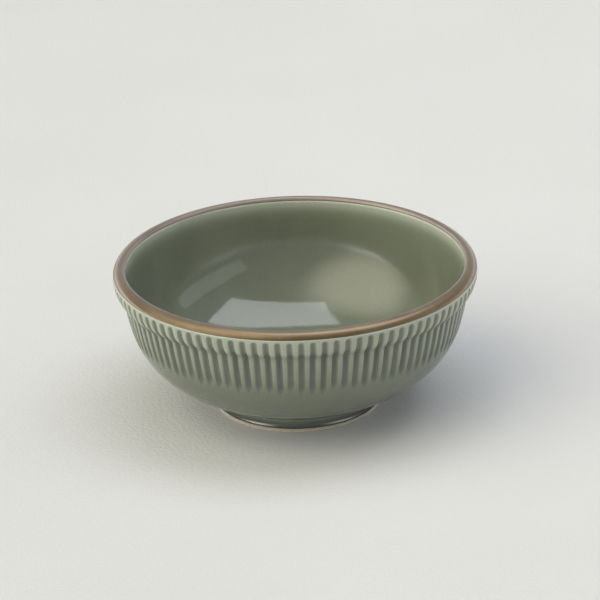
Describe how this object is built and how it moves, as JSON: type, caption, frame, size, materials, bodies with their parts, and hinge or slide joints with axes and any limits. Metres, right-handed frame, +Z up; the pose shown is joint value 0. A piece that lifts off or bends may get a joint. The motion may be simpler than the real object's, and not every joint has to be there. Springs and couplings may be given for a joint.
{
  "type": "rice bowl",
  "caption": "Round footed rice bowl with a thick fluted collar, fluted upper wall, brown lip band and grey-green glaze.",
  "frame": {"origin": "middle of the foot ring's standing plane", "axes": "+Z up along the bowl's axis, towards the open mouth; X and Y are free because the bowl is round"},
  "size_m": [0.14, 0.14, 0.0578],
  "materials": {
    "bare_clay": "rough unglazed stoneware",
    "green_glaze": "glossy grey-green celadon",
    "brown_glaze": "satin iron brown"
  },
  "bodies": {
    "root": {"clay_body": "bare_clay", "inner_glaze": "green_glaze", "outer_glaze": "green_glaze", "rim_glaze": "brown_glaze", "base_glaze": "green_glaze"}
  },
  "joints": []
}
